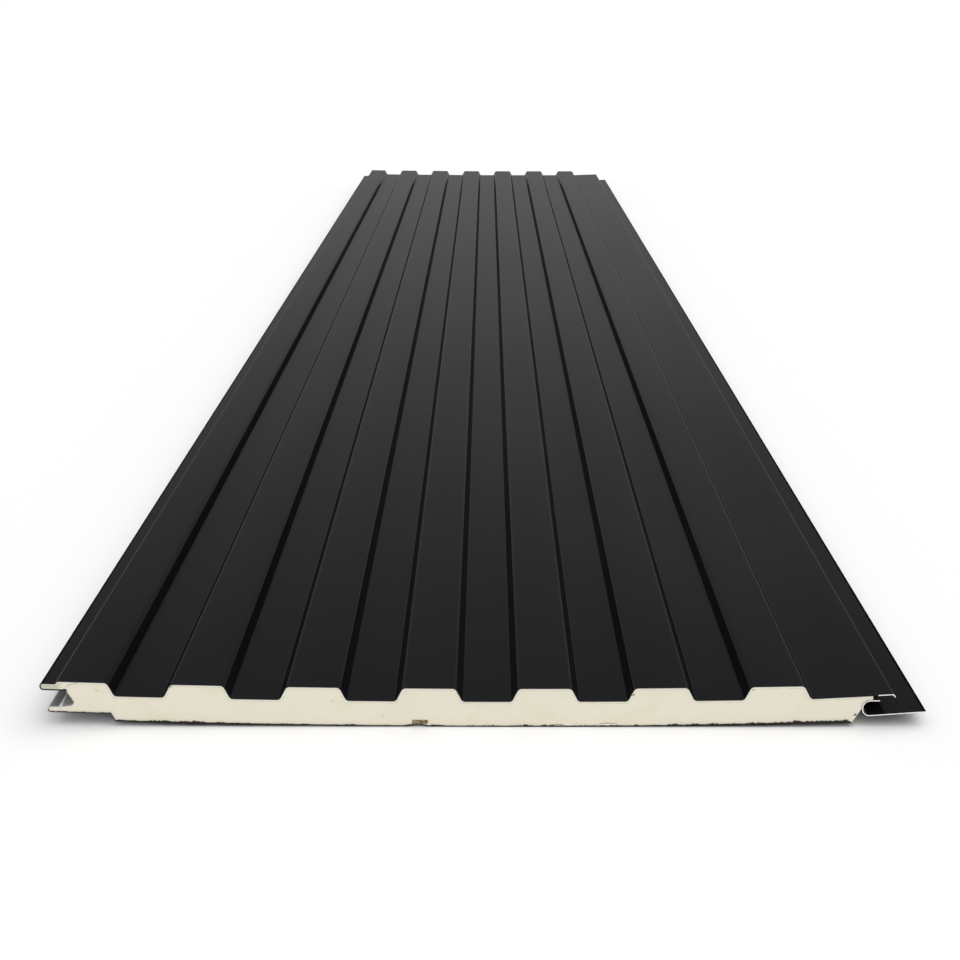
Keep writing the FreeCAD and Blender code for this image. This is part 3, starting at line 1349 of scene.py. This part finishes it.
@dataclass
class FoamCore(Layer):
    """The foam between sheet and liner, as ruled patches of its section and rings along it.

    The section is cut into patches that share their edge points: the lower lip, the upper lip
    out to the notch's slanted cut, the root of that lip, the body and the tail behind the
    pocket. The near face takes all of them and the far face all but the notched lip.
    """

    arch: LiftedArch
    inset: float = 0.38 * MM
    column_step: float = 0.8 * MM
    low_rows: int = 10
    low_crowding: float = 1.6
    high_rows: int = 22
    high_crowding: float = 2.2
    cut_over_foot: float = 2.0 * MM
    crest_past_step: float = 1.0 * MM
    tail_run: float = 20.0 * MM
    tail_columns: int = 24
    tail_marks: tuple[float, ...] = (0.0, 0.3, 0.75, 0.84, 1.0)
    wave_height: float = 0.05 * MM
    wave_across: float = 61.0
    wave_shift: float = 0.7
    drift_across: float = 23.0
    drift_up: float = 90.0
    saw_height: float = 0.012 * MM
    saw_pitch: float = 2.1 * MM
    saw_slant: float = 0.35
    saw_sway: float = 2.0
    sway_up: float = 800.0
    arch_fade: float = 4.0
    sharp_degrees: float = 40.0

    PLACE_DIGITS = 7
    SHARE_DIGITS = 9

    def build(self) -> None:
        """Build the foam from the patches of both ends and two rings between them."""
        patches = self._patches(self._lines())
        notch = self.far - self.section.sizes.lip_notch
        whole, notched = self._rings(patches)
        grids = [self._sawn(patch) for patch in patches.values()]
        lip = patches.pop("lip")
        grids += [set_along(patch, self.far)[:, ::-1] for patch in patches.values()]
        grids.append(set_along(lip, notch)[:, ::-1])
        grids.append(np.stack([self._sawn(whole), set_along(whole, notch)]))
        grids.append(np.stack([set_along(notched, notch), set_along(notched, self.far)]))
        counts = np.cumsum([0] + [grid.shape[0] * grid.shape[1] for grid in grids])
        quads = [grid_quads(*grid.shape[:2], start) for grid, start in zip(grids, counts)]
        points = self.eased(np.concatenate([grid.reshape(-1, 3) for grid in grids]))
        corners, finishes = np.concatenate(quads), [RigidFoam().material()]
        piece = make_piece("foam_body", points, corners, finishes, sharp_degrees=self.sharp_degrees)
        self._store_depth(piece)
        settle(piece, Node.FOAM_CORE)

    def _under_sheet(self, line: Line) -> Array:
        """Part of the sheet's back that lies on the foam."""
        return line.points[line.owners <= line.number("foam end")]

    def _lines(self) -> FoamLines:
        """Find the lines round the foam's section, on the backs of the sheet and the liner.

        Returns:
            The lines.
        """
        back = self.section.sheet_lines()[1]
        lining = self.section.liner_lines()[1].points
        sheet = self._under_sheet(back)
        first, last = back.number("fold on foam"), back.number("pocket back")
        nose, low_nose = int(sheet[:, 0].argmin()), int(lining[:, 0].argmin())
        groove = lining[low_nose:]
        deep = int(groove[:, 0].argmax())
        return FoamLines(
            top=sheet[nose:],
            bottom=lining[: low_nose + 1][::-1],
            floor=groove[: deep + 1],
            wall=groove[deep:][::-1],
            roof=sheet[: nose + 1][::-1],
            pocket=back.points[(back.owners >= first) & (back.owners <= last)],
        )

    def _patches(self, lines: FoamLines) -> dict[str, Array]:
        """Cut the section into patches of straight rows between two lines.

        Args:
            lines: Lines round the section.

        Returns:
            Grids of X and Z, with rows from low to high.
        """
        top, bottom, floor = lines.top, lines.bottom, lines.floor
        cut_x, deep_x = self._cut_top(lines), floor[-1, 0]
        low_rows = self._crowded(self.low_rows, self.low_crowding)
        high_rows = 1 - self._crowded(self.high_rows, self.high_crowding)[::-1]
        root_low = np.vstack([lines.roof[-1:], lines.wall])
        x = self._columns(lines, deep_x, top[-1, 0] - self.tail_run)
        low, high = self._at(bottom, x), self._at(top, x)
        share = (floor[-1, 1] - low[0, 1]) / (high[0, 1] - low[0, 1])
        middle = low + (high - low) * share
        lower = low + (middle - low) * low_rows[:, None, None]
        upper = middle + (high - middle) * high_rows[:, None, None]
        body = np.concatenate([lower, upper[1:]])
        return {
            "lower lip": self._ruled(self._span(bottom, None, deep_x), floor, low_rows),
            "lip": self._ruled(lines.roof, self._span(top, None, cut_x), high_rows),
            "root": self._ruled(root_low, self._span(top, cut_x, deep_x), high_rows),
            "body": body,
            "tail": self._tail(body[:, -1], lines),
        }

    def _crowded(self, count: int, power: float) -> Array:
        """Shares of a patch's height, closer together towards 0: even shares raised to a power."""
        return np.linspace(0.0, 1.0, count + 1) ** power

    def _at(self, line: Array, x: Array) -> Array:
        """Points of a line at places across the panel."""
        return np.stack([x, np.interp(x, line[:, 0], line[:, 1])], axis=1)

    def _cut_top(self, lines: FoamLines) -> float:
        """Find where the notch's slanted cut meets the foam's top.

        The cut is straight, from the end of the lip's return past a point over the step's foot.

        Args:
            lines: Lines round the section.

        Returns:
            The place across the panel.
        """
        section = self.section
        start_x, start_z = lines.roof[-1]
        over_foot = np.array([section.step_foot, section.lip_top + self.cut_over_foot])
        past_x, past_z = section.bowed(over_foot)
        crest_x = section.step_top + section.offset[0] + self.crest_past_step
        crest = np.interp(crest_x, lines.top[:, 0], lines.top[:, 1])
        return start_x + (past_x - start_x) / (past_z - start_z) * (crest - start_z)

    def _span(self, line: Array, start: float | None, end: float) -> Array:
        """Part of a line between two places across the panel.

        Args:
            line: Points of the line.
            start: Where the part starts; at the line's first point if None.
            end: Where it ends.

        Returns:
            The part, with points at both places.
        """
        first = line[0, 0] if start is None else start
        inside = line[(line[:, 0] > first) & (line[:, 0] < end)]
        limits = self._at(line, np.array([first, end]))
        if start is None:
            limits[0] = line[0]
        return np.vstack([limits[:1], inside, limits[1:]])

    def _columns(self, lines: FoamLines, start: float, end: float) -> Array:
        """Places of the body's columns.

        Args:
            lines: Lines round the section.
            start: Place of the first column.
            end: Place of the last one.

        Returns:
            Every point of the top and bottom between them, and even steps.
        """
        even = np.arange(start, end, self.column_step)
        places = np.concatenate([lines.bottom[:, 0], lines.top[:, 0], even])
        inside = places[(places > start) & (places < end)]
        places = np.unique(np.round(inside, self.PLACE_DIGITS))
        return np.concatenate([[start], places, [end]])

    def _ruled(self, low: Array, high: Array, rows: Array) -> Array:
        """Straight rows between two lines, joined at equal shares of their lengths.

        Args:
            low: Lower line.
            high: Upper line.
            rows: Share of the way up of each row.

        Returns:
            The grid.
        """
        low_shares, high_shares = shares_of(low), shares_of(high)
        digits = self.SHARE_DIGITS
        shares = np.union1d(np.round(low_shares, digits), np.round(high_shares, digits))
        first, second = along(low, shares, low_shares), along(high, shares, high_shares)
        return first + (second - first) * rows[:, None, None]

    def _tail(self, left: Array, lines: FoamLines) -> Array:
        """Patch from the body's last column to the line round the pocket, with straight rows.

        Args:
            left: Points of the body's last column.
            lines: Lines round the section.

        Returns:
            The grid.
        """
        right = np.vstack([lines.bottom[-1], lines.pocket[::-1], lines.top[-1]])
        right_shares = shares_of(right)
        bends = len(lines.pocket)
        marks = np.array([0, 1, bends - 1, bends, bends + 1])
        last = len(left) - 1
        at_rows = np.round(np.array(self.tail_marks) * last)
        shares = np.interp(np.arange(last + 1), at_rows, right_shares[marks])
        across = np.linspace(0.0, 1.0, self.tail_columns + 1)[None, :, None]
        ends = along(right, shares, right_shares)
        return left[:, None] + (ends[:, None] - left[:, None]) * across

    def _sawn(self, places: Array) -> Array:
        """Set places of the section on the sawn near face.

        The face is a shallow wave, the product of two sines, with finer saw marks on it. Its
        lower edge is lifted over the arch, by less and less further up.

        Args:
            places: X and Z in the last axis.

        Returns:
            The points.
        """
        x, z = places[..., 0], places[..., 1]
        wave = np.sin(x * self.wave_across + self.wave_shift)
        wave *= np.sin(x * self.drift_across + z * self.drift_up)
        sway = self.saw_sway * np.sin(z * self.sway_up)
        saw = np.sin((x + self.saw_slant * z) * 2 * math.pi / self.saw_pitch + sway)
        front = self.near + self.inset + self.wave_height * wave + self.saw_height * saw
        fade = np.clip(1 - z / (self.arch_fade * self.arch.height), 0.0, 1.0)
        return placed(x, front, z + self.arch.lift(x) * fade)

    def _rings(self, patches: dict[str, Array]) -> tuple[Array, Array]:
        """Closed outlines of the section.

        Args:
            patches: Patches of the section.

        Returns:
            The outline with the upper lip and the one where it is notched.
        """
        lower_lip, lip, root = patches["lower lip"], patches["lip"], patches["root"]
        bottom = [patches[key][0] for key in ("lower lip", "body", "tail")]
        top = np.concatenate([patches[key][-1] for key in ("root", "body", "tail")])[::-1]
        start = np.concatenate([*bottom, patches["tail"][:, -1], top])
        end = np.concatenate([root[0], lower_lip[-1][::-1], lower_lip[::-1, 0]])
        round_lip = np.concatenate([lip[-1][::-1], lip[::-1, 0], lip[0]])
        return np.concatenate([start, round_lip, end]), np.concatenate([start, root[::-1, 0], end])

    def _store_depth(self, piece: bpy.types.Object) -> None:
        """Store at each point how deep it lies under the sheet.

        The depth is the distance from the nearest of the straight runs of the sheet's back.

        Args:
            piece: The foam.
        """
        sheet = self._under_sheet(self.section.sheet_lines()[1])
        points = np.empty(len(piece.data.vertices) * 3)
        piece.data.vertices.foreach_get("co", points)
        places = points.reshape(-1, 3)[:, ::2]
        start, run = sheet[:-1], np.diff(sheet, axis=0)
        offset = places[:, None] - start
        share = np.clip(np.sum(offset * run, axis=2) / np.sum(run * run, axis=1), 0.0, 1.0)
        depth = np.linalg.norm(offset - run * share[..., None], axis=2).min(axis=1)
        store = piece.data.attributes.new(DEPTH, "FLOAT", "POINT")
        store.data.foreach_set("value", depth.astype(np.float32))


@dataclass(frozen=True)
class Scrap:
    """A thin scrap on the sawn face: a strip along a line, uneven along both edges.

    Places and sizes are in millimetres. The taper and both pitches are shares of the length,
    and the unevenness and the least height are shares of the height.
    """

    name: str
    finish: MottledCoat
    seed: int
    start: Point
    end: Point
    height: float
    rise: float
    taper: float = 0.3
    unevenness: float = 0.5
    proud: float = 0.1
    bulge: float = 0.05
    thickness: float = 0.12
    least_height: float = 0.04
    upper_pitch: float = 0.06
    lower_pitch: float = 0.09

    POINTS_ALONG = 41
    POINTS_ACROSS = 5

    def build(self, front: float) -> None:
        """Build the scrap as a closed shell.

        Its middle runs from start to end, lifted between them by a half sine wave. Its height
        falls off towards both ends, and random values make the edges uneven.

        Args:
            front: Where the sawn face lies along the panel.
        """
        share = np.linspace(0.0, 1.0, self.POINTS_ALONG)
        across = np.linspace(-0.5, 0.5, self.POINTS_ACROSS)[:, None]
        start, end = np.array(self.start) * MM, np.array(self.end) * MM
        x = start[0] + (end[0] - start[0]) * share
        half_wave = np.sin(math.pi * share)
        middle = start[1] + (end[1] - start[1]) * share + self.rise * MM * half_wave
        full = np.clip(np.minimum(share, 1 - share) / self.taper, self.least_height, 1.0)
        upper = Ragged(self.upper_pitch, self.seed).heights(share)
        lower = Ragged(self.lower_pitch, self.seed + 1).heights(share)
        uneven = 1 + self.unevenness * (np.where(across > 0, upper, lower) - 0.5)
        z = middle + across * (self.height * MM) * full * uneven
        outer = placed(x, front - self.proud * MM - self.bulge * MM * half_wave, z)
        shell = Shell(outer, outer + np.array([0.0, self.thickness * MM, 0.0]))
        finishes = [self.finish.material()]
        piece = make_piece(self.name, shell.points(), shell.quads().corners, finishes)
        settle(piece)


@dataclass
class NearEndMarks:
    """What the saw left on the near end: torn paper, a crack in the foam and paint burrs."""

    front: float

    def build(self) -> None:
        """Build the marks."""
        for scrap in self.dress():
            scrap.build(self.front)

    def dress(self) -> list[Scrap]:
        """Give each mark its finish, place and size.

        Returns:
            The marks.
        """
        kraft_tones = (0.12, 0.085, 0.037), (0.34, 0.265, 0.145)
        white_tones = (0.88, 0.86, 0.83), (0.95, 0.94, 0.92)
        burr_tones = (0.008, 0.007, 0.006), (0.03, 0.028, 0.024)
        tan_tones = (0.5, 0.36, 0.28), (0.58, 0.45, 0.36)
        olive_tones = (0.3, 0.28, 0.17), (0.42, 0.4, 0.26)
        crack_tones = (0.26, 0.22, 0.15), (0.42, 0.37, 0.27)
        kraft = MottledCoat("kraft_paper", *kraft_tones, grains=700.0, roughness=0.85)
        tan = MottledCoat("torn_tan_paper", *tan_tones, grains=900.0, roughness=0.85)
        white = MottledCoat("torn_white_paper", *white_tones, grains=900.0, roughness=0.9)
        olive = MottledCoat("olive_shade", *olive_tones, grains=900.0, roughness=0.95)
        crack = MottledCoat("crack_shade", *crack_tones, grains=1200.0, roughness=0.95)
        burr = MottledCoat("paint_burr", *burr_tones, grains=1500.0, roughness=0.7)
        return [
            Scrap(
                "kraft_tab", kraft, 3, (-33.4, 2.15), (-25.8, 2.15), 2.0, 0.0,
                taper=0.03, unevenness=0.12,
            ),
            Scrap(
                "tab_gap", white, 5, (-33.6, 0.8), (-25.2, 0.75), 0.95, 0.1,
                taper=0.1, unevenness=0.3, proud=0.05,
            ),
            Scrap("paper_tear", tan, 7, (52.8, 1.3), (63.8, 1.35), 0.6, 0.8),
            Scrap("tear_gap", white, 9, (53.4, 0.95), (63.2, 1.0), 0.7, 0.4),
            Scrap("small_hump", olive, 15, (30.8, 0.8), (38.0, 1.3), 0.45, 0.15, taper=0.5),
            Scrap("small_tear", white, 13, (37.8, 1.2), (41.6, 1.1), 0.75, 0.1),
            Scrap("foam_crack", crack, 17, (-194.6, 18.4), (-190.9, 20.9), 0.4, 0.25, taper=0.9),
            Scrap("crack_tail", crack, 37, (-191.2, 20.75), (-188.0, 20.95), 0.25, 0.1, taper=0.9),
            Scrap("lip_burr", burr, 19, (-196.0, 17.6), (-193.6, 17.2), 0.9, 0.1),
            Scrap("fleck_left", olive, 21, (-146.0, 19.0), (-144.7, 19.7), 0.6, 0.0, taper=0.5),
            Scrap("fleck_middle", olive, 25, (68.9, 16.5), (70.7, 17.0), 0.9, 0.0, taper=0.5),
            Scrap("fleck_right", olive, 27, (124.6, 19.4), (126.2, 20.1), 0.6, 0.0, taper=0.5),
            Scrap("toe_burr", burr, 29, (172.8, 6.9), (174.3, 7.6), 0.9, 0.0, taper=0.5),
        ]


# Studio and camera


@dataclass(frozen=True)
class SoftLamp:
    """Wide, soft and even light from one direction."""

    name: str
    strength: float
    spread_degrees: float
    near_tilt_degrees: float
    right_tilt_degrees: float

    def build(self) -> None:
        """Build the lamp, tilted from straight overhead to the near side and to the right."""
        light = bpy.data.lights.new(self.name, "SUN")
        light.energy = self.strength
        light.angle = math.radians(self.spread_degrees)
        lamp = bpy.data.objects.new(self.name, light)
        near_tilt = math.radians(self.near_tilt_degrees)
        lamp.rotation_euler = (near_tilt, math.radians(self.right_tilt_degrees), 0.0)
        bpy.context.scene.collection.objects.link(lamp)


@dataclass(frozen=True)
class Studio:
    """Pale floor, even white surroundings, one soft light overhead and a fill from the front."""

    floor_half_width: float = 40.0
    floor_drop: float = 0.23 * MM
    floor_tilt: float = 0.006
    floor_colour: Colour = (0.97, 0.97, 0.97)
    surroundings: Colour = (1.0, 1.0, 1.0)
    light_level: float = 0.55
    lamps: tuple[SoftLamp, ...] = (
        SoftLamp("soft_top_light", 0.6, 60.0, -14.0, 22.0),
        SoftLamp("front_fill", 1.15, 60.0, 32.0, 0.0),
    )

    def build(self) -> None:
        """Build the floor, the world and the lamps."""
        self._floor()
        self._world()
        for lamp in self.lamps:
            lamp.build()

    def _floor(self) -> None:
        """Build a wide matt floor, a little lower on the groove side, as the shadow shows."""
        half = self.floor_half_width
        corners = [(-half, -half), (half, -half), (half, half), (-half, half)]
        mesh = bpy.data.meshes.new("floor")
        heights = [(x, y, x * self.floor_tilt - self.floor_drop) for x, y in corners]
        mesh.from_pydata(heights, [], [(0, 1, 2, 3)])
        matt = {"Base Color": self.floor_colour, "Roughness": 1.0, "Specular IOR Level": 0.0}
        mesh.materials.append(SurfaceGraph("pale_floor").dressed(matt))
        floor = bpy.data.objects.new("floor", mesh)
        bpy.context.scene.collection.objects.link(floor)

    def _world(self) -> None:
        """Build white surroundings, as seen directly, in mirrors and through glass.

        They light the panel about half as brightly as they show.
        """
        world = bpy.data.worlds.new("white_studio")
        world.use_nodes = True
        world.node_tree.nodes.clear()
        graph = Graph(world.node_tree)
        rays = graph.add("LightPath", {}).outputs
        seen = graph.math("MAXIMUM", rays["Is Camera Ray"], rays["Is Glossy Ray"])
        seen = graph.math("MAXIMUM", seen, rays["Is Transmission Ray"])
        levels = {"Value": seen, "To Min": self.light_level, "To Max": 1.0}
        level = graph.add("MapRange", levels).outputs["Result"]
        background = graph.add("Background", {"Color": self.surroundings, "Strength": level})
        graph.add("OutputWorld", {"Surface": background.outputs["Background"]})
        bpy.context.scene.world = world


@dataclass(frozen=True)
class PhotoCamera:
    """Camera of the photo, found from the corners of both ends of the ribs."""

    focal_pixels: float = 1492.6955
    pitch: float = 0.32175216
    yaw: float = -0.00292455
    roll: float = 0.00497567
    place: tuple[float, float, float] = (-0.2693 * MM, -1626.7557 * MM, 330.6770 * MM)
    clip_start: float = 0.01
    clip_end: float = 200.0

    def build(self) -> None:
        """Build the camera and make it the scene's."""
        level = math.cos(self.pitch)
        ahead_x, ahead_y = math.sin(self.yaw) * level, math.cos(self.yaw) * level
        ahead = Vector((ahead_x, ahead_y, -math.sin(self.pitch)))
        right = Vector((math.cos(self.yaw), -math.sin(self.yaw), 0.0))
        up = right.cross(ahead)
        rolled_right = right * math.cos(self.roll) + up * math.sin(self.roll)
        rolled_up = up * math.cos(self.roll) - right * math.sin(self.roll)
        data = bpy.data.cameras.new("photo_camera")
        data.sensor_width = SENSOR_WIDTH
        data.lens = self.focal_pixels * SENSOR_WIDTH / PICTURE_PIXELS
        data.clip_start = self.clip_start
        data.clip_end = self.clip_end
        camera = bpy.data.objects.new("photo_camera", data)
        turn = Matrix((rolled_right, rolled_up, -ahead)).transposed().to_4x4()
        camera.matrix_world = Matrix.Translation(self.place) @ turn
        bpy.context.scene.collection.objects.link(camera)
        bpy.context.scene.camera = camera


def main() -> None:
    """Build the panel, its marks, the studio and the camera."""
    bpy.context.scene.view_settings.view_transform = "Standard"
    section = PanelSection(PanelSizes())
    sheet_low, sheet_high = (Vector(corner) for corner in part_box(Node.FACE_SHEET.value))
    liner_low = Vector(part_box(Node.BACK_LINER.value)[0])
    section.place_in(sheet_low, liner_low)
    near, far = sheet_low.y, sheet_high.y
    FaceSheet(section, near, far).build()
    arch = LiftedArch()
    foam = FoamCore(section, near, far, arch)
    foam.build()
    BackLiner(section, near, far, arch).build()
    NearEndMarks(near + foam.inset).build()
    Studio().build()
    PhotoCamera().build()


if __name__ == "__main__":
    main()
